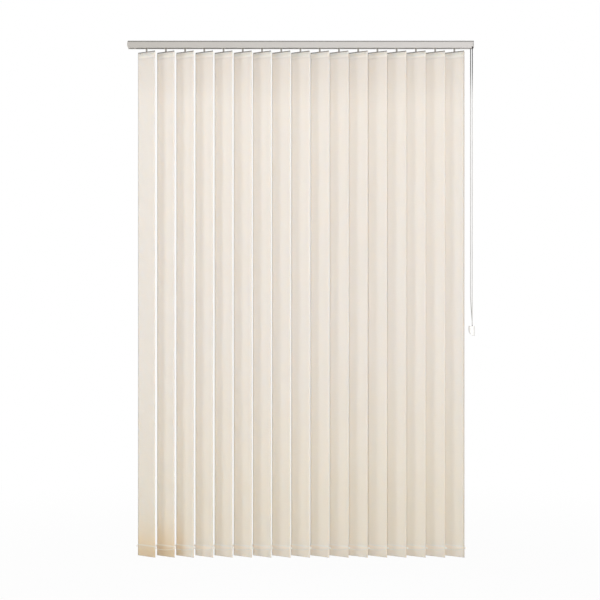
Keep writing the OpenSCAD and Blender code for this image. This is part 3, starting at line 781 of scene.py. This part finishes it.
# %% Cord yarn
PALE_YARN, DARK_TOP_YARN, HOLE_SHADE_YARN = linear(212, 211, 208), linear(34, 33, 32), linear(96, 95, 93)
WEIGHT_ENTRY = -1.183
yarn, tree, skin = new_finish("cord_yarn", Specular_IOR_Level=0.15, Roughness=0.8, Sheen_Weight=0.06)
uv = put(tree, "ShaderNodeUVMap", {"uv_map": "measure"}).outputs[0]
slanted = put(tree, "ShaderNodeMapping", Vector=uv, Rotation=(0.0, 0.0, math.radians(45)))
threads = use_group(tree, weave, Place=slanted.outputs[0], Threads_along=820.0, Threads_across=820.0,
                    Slubs=0.4)
height = put(tree, "ShaderNodeSeparateXYZ", Vector=object_place(tree)).outputs[2]
# The upper end of the cord is dark grey, fading out below the rail.
darker_above = map_range(tree, height, -0.26, -0.10, smooth=True)
base = mix_colour(tree, darker_above, PALE_YARN, DARK_TOP_YARN)
# Painted shade of the hole where the cord enters the weight: a short grey stretch.
from_weight = math_node(tree, "ABSOLUTE", math_node(tree, "SUBTRACT", height, WEIGHT_ENTRY))
base = mix_colour(tree, map_range(tree, from_weight, 0.002, 0.004, 0.9, 0.0), base, HOLE_SHADE_YARN)
tree.links.new(toned(tree, base, threads["Tone"], 0.04), skin.inputs["Base Color"])
relief(tree, skin, threads["Height"], 0.15, 0.0002)
cord.data.materials.append(yarn)
print("finish", yarn.name)

# %% [markdown]
# ## Light and background
# The photograph is a catalogue picture: soft light from the front and left, and a pure white ground. One
# strong lamp would draw hard edges on the slats. So the world gives a fill that is weaker from above and
# from the front left, a large lamp on the left gives the direction, and a larger one in front keeps the
# shaded side of each slat pale. White for the camera comes from the world and the floor themselves, so
# the blind isn't lit by more than it needs.

# %% White ground
WHITE = (1.0, 1.0, 1.0, 1.0)


def sees_ground(tree, rays):
    """One for a ray from the camera, from a mirror or through glass: the largest of the three flags."""
    bent = math_node(tree, "MAXIMUM", rays["Is Glossy Ray"], rays["Is Transmission Ray"])
    return math_node(tree, "MAXIMUM", rays["Is Camera Ray"], bent)


def mix_shaders(tree, share, lit, white, output):
    """Leads a mixture of a lit shader and a white one, by the share of white, to the output."""
    both = put(tree, "ShaderNodeMixShader", Fac=share, i1=lit, i2=white)
    tree.links.new(both.outputs[0], output)


print("white ground for the camera")

# %% World
FILL_SIDES, FILL_ABOVE, FRONT_LEFT_DIM = 0.9, 0.45, 0.6
world = bpy.data.worlds.new("studio")
scene.world = world
world.use_nodes = True
tree = world.node_tree
ground = tree.nodes["Background"]
ground.inputs["Color"].default_value = (1.0, 0.995, 0.985, 1.0)
direction = put(tree, "ShaderNodeTexCoord").outputs["Generated"]
toward = put(tree, "ShaderNodeSeparateXYZ", Vector=direction).outputs
fill = map_range(tree, toward[2], 0.05, 0.75, FILL_SIDES, FILL_ABOVE)
leftward = map_range(tree, toward[0], -0.05, -0.45, smooth=True)
frontward = map_range(tree, toward[1], 0.35, 0.0, smooth=True)
dimmed = math_node(tree, "MULTIPLY", math_node(tree, "MULTIPLY", leftward, frontward), -FRONT_LEFT_DIM)
fill = math_node(tree, "MULTIPLY", fill, math_node(tree, "ADD", dimmed, 1.0))
tree.links.new(fill, ground.inputs["Strength"])
seen = sees_ground(tree, put(tree, "ShaderNodeLightPath").outputs)
white = put(tree, "ShaderNodeBackground", Color=WHITE, Strength=1.0)
mix_shaders(tree, seen, ground.outputs[0], white.outputs[0], tree.nodes["World Output"].inputs["Surface"])
print("world fill", FILL_SIDES, "from the sides,", FILL_ABOVE, "from above")

# %% Lamps
def soft_lamp(name, place, target, size, power):
    """A square area lamp at a place, turned to face a target."""
    data = bpy.data.lights.new(name, "AREA")
    data.size = size
    data.energy = power
    lamp = bpy.data.objects.new(name, data)
    lamp.location = place
    aim = np.array(target, float) - np.array(place, float)
    aim /= np.linalg.norm(aim)
    lamp.rotation_euler = (math.acos(-aim[2]), 0, math.atan2(-aim[0], aim[1]))
    scene.collection.objects.link(lamp)
    return lamp


key = soft_lamp("key_lamp", (-7.0, -4.7, 1.0), (0.0, 0.0, -0.9), 3.2, 168.0)
front = soft_lamp("front_lamp", (1.0, -8.4, -0.6), (0.0, 0.0, -1.2), 4.5, 388.0)
print("key lamp", key.data.energy, "W, front lamp", front.data.energy, "W")

# %% [markdown]
# The floor is a plain pale plane under the blind. To the camera it is nearly all white ground, with a
# share of real shading left in, so that the shadow of the blind still falls on it. That share fades out
# towards the edge of the floor, which would otherwise show as a line. For the light that it throws back up
# it is a mid grey, so that the slats aren't lit from below.

# %% Floor
FLOOR_DROP, FLOOR_HALF = 0.12, 4.0
FLOOR_BOUNCE, FLOOR_SEEN = (0.28, 0.28, 0.275, 1.0), (0.95, 0.95, 0.95, 1.0)
WHITE_SHARE, FADE_FROM, FADE_TO = 0.95, 2.3, 3.8
FLOOR_UP = SLAT_BOTTOM - FLOOR_DROP
corner = np.array([[-1, -1], [1, -1], [1, 1], [-1, 1]]) * FLOOR_HALF
mesh = bpy.data.meshes.new("floor")
mesh.from_pydata(np.column_stack([corner, np.full(4, FLOOR_UP)]).tolist(), [], [[0, 1, 2, 3]])
floor = bpy.data.objects.new("floor", mesh)
scene.collection.objects.link(floor)
pale, tree, skin = new_finish("pale_floor", Roughness=0.9)
rays = put(tree, "ShaderNodeLightPath").outputs
tone = mix_colour(tree, rays["Is Camera Ray"], FLOOR_BOUNCE, FLOOR_SEEN)
tree.links.new(tone, skin.inputs["Base Color"])
white = put(tree, "ShaderNodeEmission", Color=WHITE, Strength=1.0)
away = put(tree, "ShaderNodeVectorMath", {"operation": "LENGTH"}, i0=object_place(tree)).outputs["Value"]
share = math_node(tree, "MULTIPLY", sees_ground(tree, rays),
                  map_range(tree, away, FADE_FROM, FADE_TO, WHITE_SHARE, 1.0, smooth=True))
mix_shaders(tree, share, skin.outputs[0], white.outputs[0], tree.nodes["Material Output"].inputs["Surface"])
mesh.materials.append(pale)
print("floor at", round(FLOOR_UP, 3), "m")
